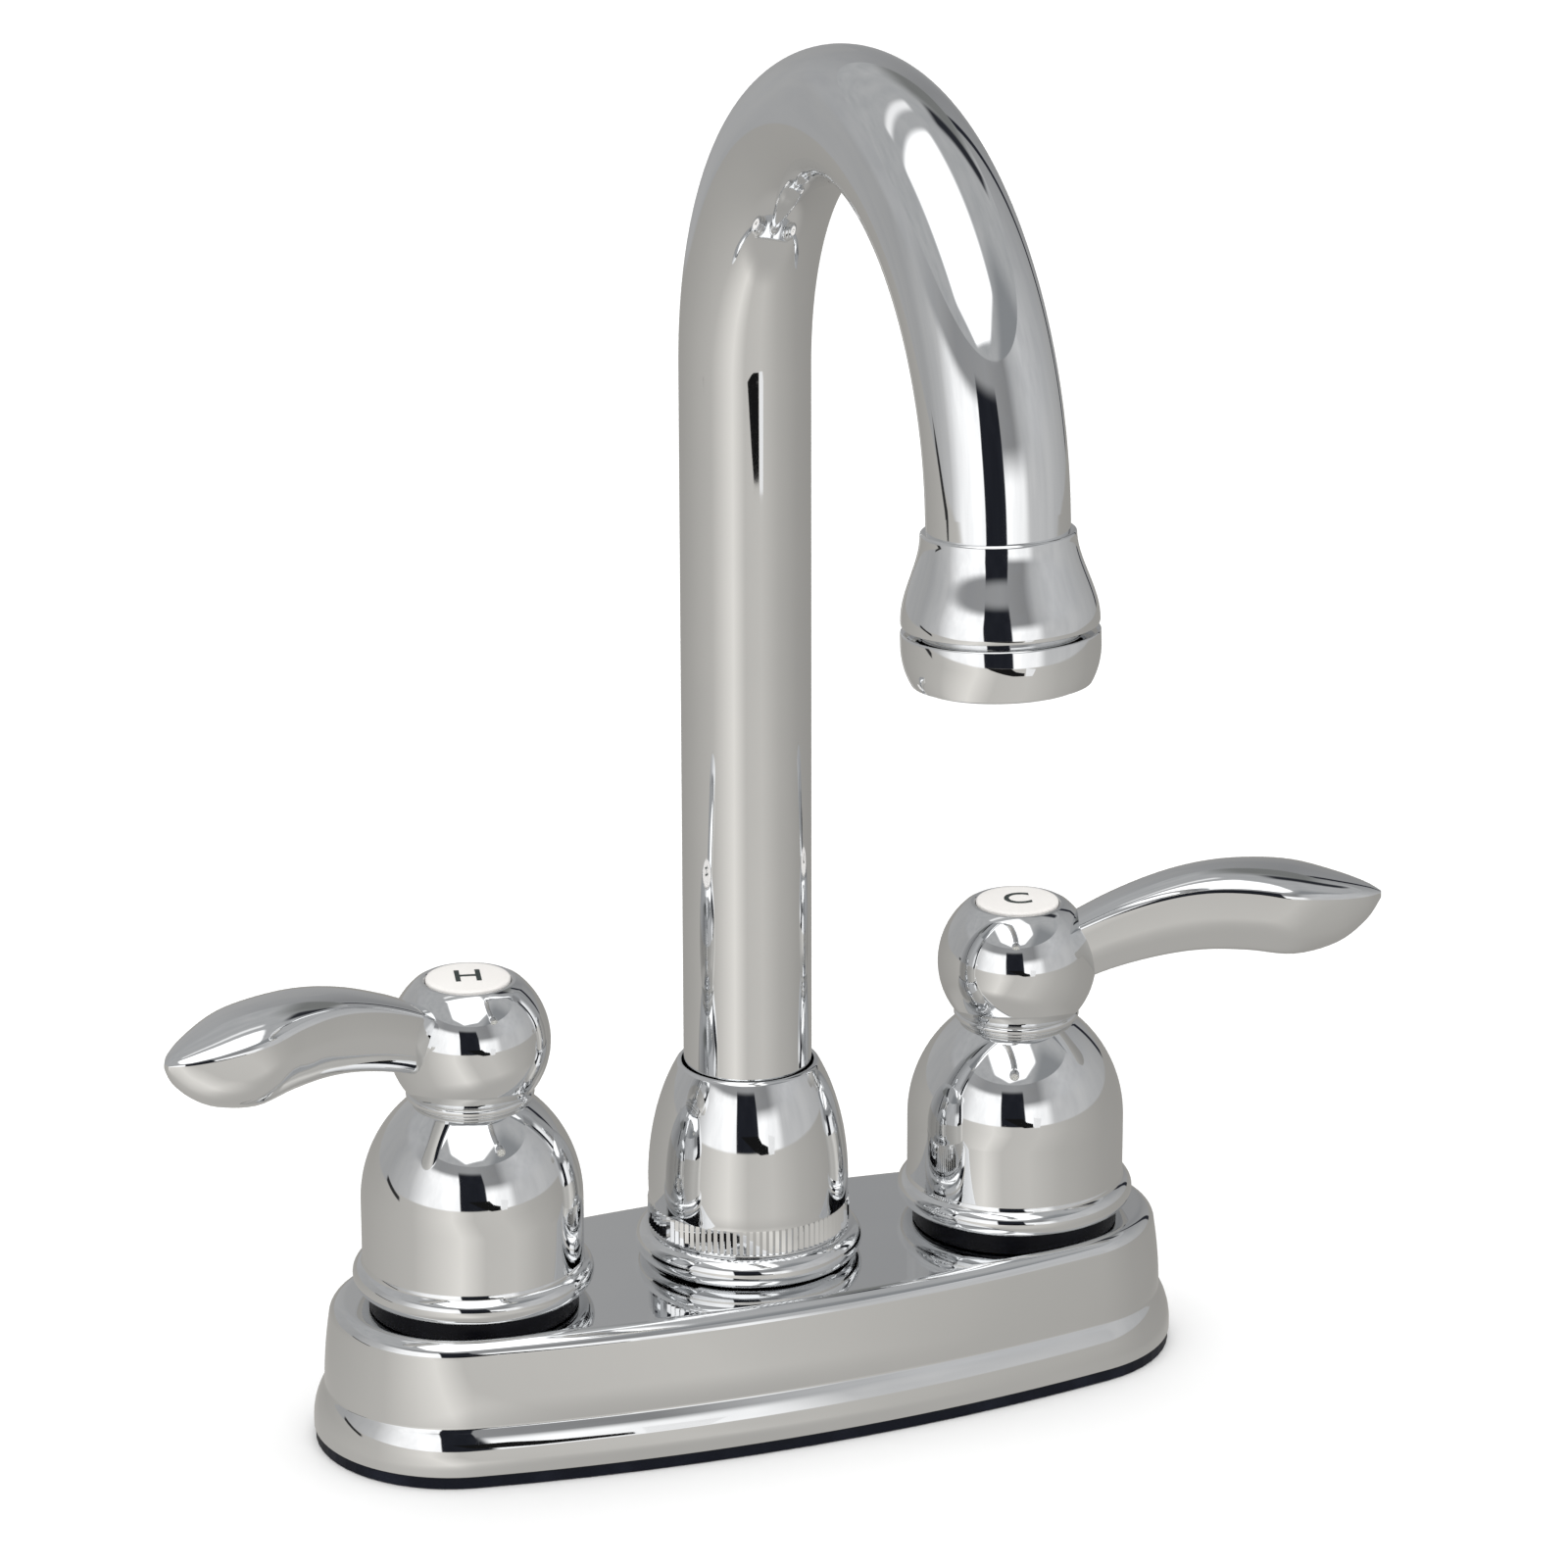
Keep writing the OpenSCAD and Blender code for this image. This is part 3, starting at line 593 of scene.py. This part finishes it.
# %% Index buttons
LETTER_SIZE = 7.4
LETTER_TURN = -14
button_section = (
    [(0, FLAT_H - 2.15), (BUTTON_R - 0.3, FLAT_H - 2.15), (BUTTON_R, FLAT_H - 1.8)]
    + arc(BUTTON_R - 0.5, FLAT_H - 0.1, 0.5, 0, 78, 8)
    + [(r, FLAT_H + 0.55 - 0.15 * (r / 6.5) ** 2) for r in (6, 5, 4, 3, 2, 1, 0)]
)
for side, letter in (("hot", "H"), ("cold", "C")):
    x = -VALVE_X if side == "hot" else VALVE_X
    button = turned(side + "_button", button_section, 96)
    place_at(button, (x, 0, BASE_TOP))
    dress(button, "porcelain", side + "_handle_assembly", side + "_index_button")
    bpy.ops.object.text_add(location=(0, 0, 0))
    mark = bpy.context.object
    mark.data.body = letter
    mark.data.size = LETTER_SIZE * MM
    mark.data.align_x = "CENTER"
    mark.data.align_y = "CENTER"
    mark.data.extrude = 0.12 * MM
    mark.data.offset = 0.06 * MM
    mark.data.resolution_u = 6
    bpy.ops.object.convert(target="MESH")
    mark.name = side + "_letter"
    place_at(mark, (x, 0, BASE_TOP + FLAT_H + 0.48), (0, 0, LETTER_TURN))
    bpy.ops.object.mode_set(mode="EDIT")
    bpy.ops.mesh.select_all(action="SELECT")
    bpy.ops.mesh.remove_doubles(threshold=0.001 * MM)
    bpy.ops.mesh.normals_make_consistent(inside=False)
    bpy.ops.object.mode_set(mode="OBJECT")
    dress(mark, "ink", side + "_handle_assembly")

# %% [markdown]
# ## Flange ring and knurled nut
# The nut that holds the spout has a band of fine ridges below and a long curve up to a small lip.
# It is spun in twice as many steps as it has ridges, and every second column of the band is drawn
# in, so the ridges are real and catch the light one by one.

# %% Flange ring and knurled nut
NUT_Z = 5.3
NUT_R = 17.45
NUT_WIDEST_Z = 13.8
NUT_HALF_H = 30.6
NUT_CURVE_Z = 10.6
NUT_CURVE_H = 24.7
NUT_CURVE_STEPS = 48
SHOULDER_Z = 35.3
NUT_BORE_R = 11.45
KNURL_R = 17.6
KNURL_DEPTH = 0.38
RIDGES = 96
flange_section = [(14.3, NUT_Z), (14.3, 0.3), (14.6, 0)]
flange_section += arc(17.2, NUT_Z / 2, NUT_Z / 2, -90, 90, 28)
flange_ring = turned("spout_base_ring", flange_section + flange_section[:1], 144)
place_at(flange_ring, (0, 0, BASE_TOP))
dress(flange_ring, "chrome", "base", "spout_flange_ring")


def nut_curve(z):
    """Radius of the nut's bell at a height, part of an ellipse."""
    return NUT_R * math.sqrt(1 - ((z - NUT_WIDEST_Z) / NUT_HALF_H) ** 2)


along = (SHOULDER_Z - NUT_WIDEST_Z) / NUT_HALF_H**2
outward = nut_curve(SHOULDER_Z) / NUT_R**2
lean = math.atan2(along, outward)
shoulder = (nut_curve(SHOULDER_Z) - math.cos(lean), SHOULDER_Z - math.sin(lean))
heights = [NUT_CURVE_Z + NUT_CURVE_H * i / NUT_CURVE_STEPS for i in range(NUT_CURVE_STEPS)]
nut_section = (
    [(NUT_BORE_R, 35.5), (NUT_BORE_R, 12), (13.65, 12), (13.65, NUT_Z)]
    + arc(17.0, NUT_Z + 0.3, 0.3, -90, 0, 4)
    + [(17.3, NUT_Z + 0.5), (KNURL_R, NUT_Z + 0.75), (KNURL_R, 10.1), (17.36, 10.4)]
    + [(nut_curve(z), z) for z in heights]
    + arc(*shoulder, 1.0, math.degrees(lean), 86, 12)
    + [(11.5, 35.72), (NUT_BORE_R, 35.5)]
)
nut = turned("spout_nut_knurled", nut_section, 2 * RIDGES)
bpy.ops.object.mode_set(mode="EDIT")
bpy.ops.mesh.select_all(action="DESELECT")
bpy.ops.object.mode_set(mode="OBJECT")
for vertex in nut.data.vertices:
    x, y, z = vertex.co
    column = round(math.atan2(y, x) / math.pi * RIDGES)
    in_band = math.hypot(x, y) > (KNURL_R - 0.05) * MM
    vertex.select = in_band and column % 2 == 1
bpy.ops.object.mode_set(mode="EDIT")
pull = (KNURL_R - KNURL_DEPTH) / KNURL_R
bpy.ops.transform.resize(value=(pull, pull, 1), center_override=(0, 0, 0))
bpy.ops.object.mode_set(mode="OBJECT")
bpy.ops.object.shade_smooth_by_angle(angle=math.radians(18))
place_at(nut, (0, 0, BASE_TOP))
dress(nut, "chrome", "base", "spout_nut")
print("ridges", RIDGES)

# %% [markdown]
# ## Spout tube
# A tube is bent on the real faucet, so its round section never changes. A circle is extruded up as
# the riser and spun about the centre of the arch, and a Solidify modifier gives the wall.

# %% Spout tube
TUBE_Z = 43.0
TUBE_SIDES = 128
ARCH_STEPS = 112
bpy.ops.object.select_all(action="DESELECT")
bpy.ops.mesh.primitive_circle_add(
    vertices=TUBE_SIDES, radius=TUBE_R * MM, location=(0, 0, TUBE_Z * MM))
tube = bpy.context.object
tube.name = "gooseneck_tube"
bpy.ops.object.transform_apply(location=True, rotation=True, scale=True)
bpy.ops.object.mode_set(mode="EDIT")
bpy.ops.mesh.select_all(action="SELECT")
rise = {"value": (0, 0, (ARCH_Z - TUBE_Z) * MM)}
bpy.ops.mesh.extrude_edges_move(TRANSFORM_OT_translate=rise)
bpy.ops.mesh.spin(steps=ARCH_STEPS, angle=-math.radians(ARCH_SWEEP),
                  center=(0, -ARCH_R * MM, ARCH_Z * MM), axis=(1, 0, 0))
close_up(tube)
wall = tube.modifiers.new("wall", "SOLIDIFY")
wall.thickness = TUBE_WALL * MM
wall.offset = -1
bpy.context.view_layer.objects.active = tube
bpy.ops.object.modifier_apply(modifier="wall")
bpy.ops.object.shade_smooth_by_angle(angle=math.radians(40))
dress(tube, "chrome", "spout_assembly", "spout_tube")
print("tube top", round(max(v.co.z for v in tube.data.vertices), 4))

# %% [markdown]
# ## Outlet collar and aerator
# Both are turned standing up and then laid on the end of the arch. The collar carries on the tube,
# steps out over a rounded shoulder and flares. A dark gap parts it from the rounded ring that
# holds the aerator.

# %% Outlet collar and aerator
COLLAR_R = TUBE_R + 0.9
FLARE_Z = 3.9
FLARE_H = 13.3
FLARE_STEPS = 30
GAP_Z = 18
OUTLET = (0, -ARCH_R * (1 - math.cos(math.radians(ARCH_SWEEP))),
          ARCH_Z + ARCH_R * math.sin(math.radians(ARCH_SWEEP)))


def flare(t):
    """Radius and height along the collar's flare, t from 0 to 1."""
    radius = COLLAR_R + (AERATOR_R - 0.1 - COLLAR_R) * t * t * (3 - 2 * t)
    return radius, FLARE_Z + FLARE_H * t


collar_section = (
    [(8.8, -3), (9.9, -3), (9.9, 0), (TUBE_R, 0), (TUBE_R, 3.4)]
    + arc(COLLAR_R - 0.5, FLARE_Z, 0.5, -90, 0, 8)
    + [flare(i / FLARE_STEPS) for i in range(1, FLARE_STEPS + 1)]
    + [(15.3, 17.6), (15.2, 17.9), (15.0, GAP_Z), (12.5, GAP_Z), (12.5, 9), (8.8, 9), (8.8, -3)]
)
aerator_section = (
    [(11.3, 11), (12.4, 11), (12.4, 18.9), (15.1, 18.9)]
    + arc(15.1, 19.2, 0.3, -60, 0, 4)
    + arc(3.4, 21.3, 12, 0, 29, 16)
    + arc(12.2, 26.5, 1.2, 20, 90, 10)
    + [(10.2, 27.7), (10.2, 26.5), (11.3, 26.5), (11.3, 11)]
)
for name, section, node in (
    ("outlet_collar_flared", collar_section, "outlet_collar"),
    ("aerator_housing", aerator_section, "aerator_ring"),
):
    piece = turned(name, section, 128)
    place_at(piece, OUTLET, (ARCH_SWEEP, 0, 0))
    dress(piece, "chrome", "spout_assembly", node)

# %% [markdown]
# ## The light tent
# Chrome shows its surroundings and little else, so the studio is half of the picture. The faucet
# stands on a warm grey table in a tent of white cloth, all of it one shell whose glow is painted
# light seen only in reflections. The cloth carries painted fold shade. The tent is closed: a dark
# slit in front for the lens is painted on its cloth as shade, the cloth beside it is lit brightest,
# and a window and a dark beam are overhead. The tent is near, so a high piece and a low one see the
# slit at different heights, as real geometry gives it.

# %% Light tent
TENT_FRONT = math.radians(-21.69)
TENT = ((0, -20), (600, -20), (600, 280), (720, 450), (820, 620), (920, 800), (0, 800))
CARD_FAR = 0.39
TABLE_TONES = (
    (-180, 0.32), (-110, 0.42), (-60, 0.52), (-21, 0.84), (0, 0.57), (28, 0.60), (60, 0.47),
    (100, 0.38), (180, 0.30))
NEAR_TABLE = (0.463, 0.45, 0.427)
WALL_TONES = (
    (-180, 0.36), (-150, 0.43), (-98, 0.40), (-66, 0.56), (-50, 1.15), (-16, 1.35), (16, 1.35),
    (36, 1.15), (45, 0.62), (80, 0.57), (160, 0.29), (180, 0.36))
HIGH_TONES = (
    (-180, 0.34), (-150, 0.42), (-85, 0.48), (-40, 0.30), (0, 0.34), (30, 0.26), (40, 0.48),
    (62, 0.62), (160, 0.27), (180, 0.34))
WINDOW = ((-0.40, 0.04), (0.07, -0.16), (0.36, 0.40), (0.22, 0.74), (-0.12, 0.86), (-0.38, 0.62))
WINDOW_BAR = ((-0.37, -0.15), (0.0, -0.33), (0.02, -0.27), (-0.36, -0.09))
DARK_BEAM = ((0.17, -0.46), (0.64, -0.54), (0.62, -0.36), (0.20, -0.31))
DIM_ROOF = ((-0.02, -0.95), (0.55, -0.95), (0.50, -0.40), (0.05, -0.50))
CEILING = (
    (DIM_ROOF, 0.12, (0.20, 0.205, 0.20)),
    (DARK_BEAM, 0.04, (0.025, 0.027, 0.033)),
    (WINDOW_BAR, 0.025, (1.0, 1.0, 1.0)),
    (WINDOW, 0.03, (1.6, 1.6, 1.6)),
)


def round_ramp(maker, azimuth, warmth, stops):
    """Brightness round the tent, as (degrees from the slit, brightness) stops of one tint."""
    red, blue = 1 + warmth * 0.6, 1 - warmth * 1.1
    colours = [((d + 180) / 360, (v * red, v, v * blue)) for d, v in stops]
    return maker.ramp((azimuth + 180) / 360, *colours)


def inside(maker, aside, ahead, corners, soft):
    """1 within a convex outline on the ceiling, fading to 0 over its edges."""
    mask = 1
    for (u0, v0), (u1, v1) in zip(corners, corners[1:] + corners[:1]):
        length = math.hypot(u1 - u0, v1 - v0)
        depth = (ahead - v0) * ((u1 - u0) / length) - (aside - u0) * ((v1 - v0) / length)
        mask = maker.smooth(depth, -soft, soft) * mask
    return mask


def tent_walls(maker, around, z, fold_shade):
    """White cloth with painted fold shade, the slit at the front painted dark as shade, and a dark
    seam at the back.
    """
    walls = round_ramp(maker, around, 0, WALL_TONES)
    high = round_ramp(maker, around, -0.01, HIGH_TONES)
    high_from = 0.45 - maker.smooth(around, -5, 10) * 0.19
    walls = mix(maker, maker.smooth(z - high_from, -0.06, 0.06), walls, high)
    # Painted fold shade: the cloth glows a little darker in its folds.
    walls = mix(maker, maker.smooth(fold_shade, 0.35, 0.7) * 0.2, walls, (0.30, 0.31, 0.33))
    # The slit is not cut: the cloth is painted dark here, as painted shade of the unlit room beyond
    # it.
    left = -13 - (z - 0.07) * 8
    right = 14 - (z - 0.07) * 7
    slit = maker.smooth(around - left, -0.8, 0.8) * maker.smooth(right - around, -0.8, 0.8)
    slit = slit * (1 - maker.smooth(z, 0.48, 0.60))
    dark = mix(maker, fold_shade, (0.008, 0.009, 0.013), (0.025, 0.027, 0.034))
    walls = mix(maker, slit, walls, dark)
    seam = abs(around - (137 + z * 15.5))
    return mix(maker, 1 - maker.smooth(seam, 1.8, 3.2), walls, (0.02, 0.022, 0.03))


def tent_cloth(maker):
    """The glow of the whole tent, from its table up to its ceiling."""
    place = maker.node("ShaderNodeTexCoord", out="Object")
    split = maker.tree.nodes.new("ShaderNodeSeparateXYZ")
    maker.tree.links.new(place.socket, split.inputs[0])
    x, y, z = [Wire(maker, socket) for socket in split.outputs]
    ahead = x * math.sin(TENT_FRONT) - y * math.cos(TENT_FRONT)
    aside = x * math.cos(TENT_FRONT) + y * math.sin(TENT_FRONT)
    around = aside.math("ARCTAN2", aside, ahead) * (180 / math.pi)
    # Noise that stands for folds in the cloth, used as painted fold shade on the walls, slit and
    # ceiling.
    fold_shade = spots(maker, 7, 3, (1, 1, 0.35))
    near = maker.smooth(x * x + y * y, 0.006, 0.022)
    table = mix(maker, near, NEAR_TABLE, round_ramp(maker, around, 0.05, TABLE_TONES))
    walls = tent_walls(maker, around, z, fold_shade)
    cloth = mix(maker, maker.smooth(z, 0.058, 0.072), table, walls)
    # A dark stand lies low on the left, at the foot of the cloth.
    line = abs(z - (0.06 - (around + 86) * 0.0025))
    stand = (1 - maker.smooth(line, 0.010, 0.018)) * maker.smooth(around, -98, -95)
    stand = stand * (1 - maker.smooth(around, -77, -74))
    cloth = mix(maker, stand, cloth, (0.03, 0.03, 0.03))
    roof = mix(maker, fold_shade, (0.36, 0.37, 0.38), (0.52, 0.52, 0.52))
    # Painted shade: the ceiling glows darker towards one corner.
    corner_shade = maker.smooth(aside, 0.3, 0.5) * maker.smooth(ahead, 0.0, 0.3)
    roof = mix(maker, corner_shade, roof, (0.27, 0.28, 0.29))
    for corners, soft, tone in CEILING:
        roof = mix(maker, inside(maker, aside, ahead, corners, soft), roof, tone)
    return mix(maker, maker.smooth(z, 0.79, 0.799), cloth, roof)


def studio_piece(piece, colour):
    """Gives a piece its glow. It lights reflections only, so the floor keeps its own even light."""
    material, maker = new_finish(piece.name)
    glow = maker.node("ShaderNodeEmission", {}, colour(maker), 1.0)
    maker.node("ShaderNodeOutputMaterial", {}, glow)
    piece.data.materials.clear()
    piece.data.materials.append(material)
    piece.visible_camera = False
    piece.visible_diffuse = False
    piece.visible_shadow = False


studio_piece(turned("light_tent", TENT, 180), tent_cloth)

# %% Cards before the slit
# A dark strip and a bright one stand low before the slit; the riser shows them halfway up. The dark
# strip is painted shade that carries the slit lower, and the bright one glows as a painted bright
# line beside it.
for name, tone, corners in (
    ("slit_foot", 0.010, (
        (-8, 0.112), (13, 0.112), (17, 0.088), (24, 0.075), (24, 0.053), (15, 0.053), (8, 0.067))),
    ("slit_edge", 1.0, ((25, 0.112), (33, 0.100), (31, 0.050), (25, 0.050))),
):
    turns = [(TENT_FRONT + math.radians(degrees), z) for degrees, z in corners]
    points = [(CARD_FAR * math.sin(a), -CARD_FAR * math.cos(a), z) for a, z in turns]
    card = draw_chain(name, points)
    bpy.ops.mesh.edge_face_add()
    bpy.ops.object.mode_set(mode="OBJECT")
    tones = ((tone * 0.9,) * 3, (tone,) * 3)
    studio_piece(card, lambda maker: mix(maker, spots(maker, 30, 1), *tones))
    print(name, "height", round(card.dimensions.z, 3))

# %% [markdown]
# ## Floor, soft light and camera
# A pale floor under a wide, soft lamp gives the white ground and the faint shadow below the base.
# The chrome doesn't see either of them, because its table is the tent's. The camera was fitted to
# the photograph's outlines, with the two valves 4 inches apart as the scale.

# %% Floor and soft light
FLOOR_SIZE = 6
LAMP_Z = 2.2
LAMP_SIZE = 5
LAMP_WATTS = 95
ROOM = (0.46, 0.46, 0.46, 1)
world = bpy.data.worlds.new("room")
bpy.context.scene.world = world
world.use_nodes = True
world.node_tree.nodes["Background"].inputs["Color"].default_value = ROOM
bpy.ops.object.select_all(action="DESELECT")
bpy.ops.mesh.primitive_plane_add(size=FLOOR_SIZE, location=(0, 0, -0.0002))
floor = bpy.context.object
floor.name = "floor"
floor_finish, maker = new_finish("pale_floor")
cloud = spots(maker, 3, 2)
finish_with(maker, Base_Color=mix(maker, cloud, (0.90, 0.90, 0.90), (0.93, 0.93, 0.925)),
            Roughness=0.9, Specular_IOR_Level=0.0)
floor.data.materials.append(floor_finish)
floor.visible_glossy = False
bpy.ops.object.light_add(type="AREA", location=(0, 0, LAMP_Z))
lamp = bpy.context.object
lamp.data.shape = "DISK"
lamp.data.size = LAMP_SIZE
lamp.data.energy = LAMP_WATTS
lamp.visible_glossy = False
print("floor", FLOOR_SIZE, "m, lamp", LAMP_WATTS, "W at", LAMP_Z, "m")

# %% Camera
CAMERA_AZ = -21.6898
CAMERA_EL = 19.055
CAMERA_FAR = 1.07715
CAMERA_ROLL = -0.1189
CAMERA_LENS = 144.499
LOOK_AT = Vector((0.006889, 0.000001, 0.110272))
az, el, roll = (math.radians(v) for v in (CAMERA_AZ, CAMERA_EL, CAMERA_ROLL))
back = Vector((math.sin(az) * math.cos(el), -math.cos(az) * math.cos(el), math.sin(el)))
level = Vector((math.cos(az), math.sin(az), 0))
above = back.cross(level)
right = level * math.cos(roll) + above * math.sin(roll)
up = above * math.cos(roll) - level * math.sin(roll)
bpy.ops.object.camera_add()
camera = bpy.context.object
camera.data.sensor_width = 36
camera.data.lens = CAMERA_LENS
camera.data.clip_start = 0.01
axes = Matrix((right, up, back)).transposed().to_4x4()
camera.matrix_world = Matrix.Translation(LOOK_AT + back * CAMERA_FAR) @ axes
bpy.context.scene.camera = camera
bpy.context.scene.view_settings.view_transform = "Standard"
print("camera at", [round(v, 4) for v in camera.matrix_world.translation])
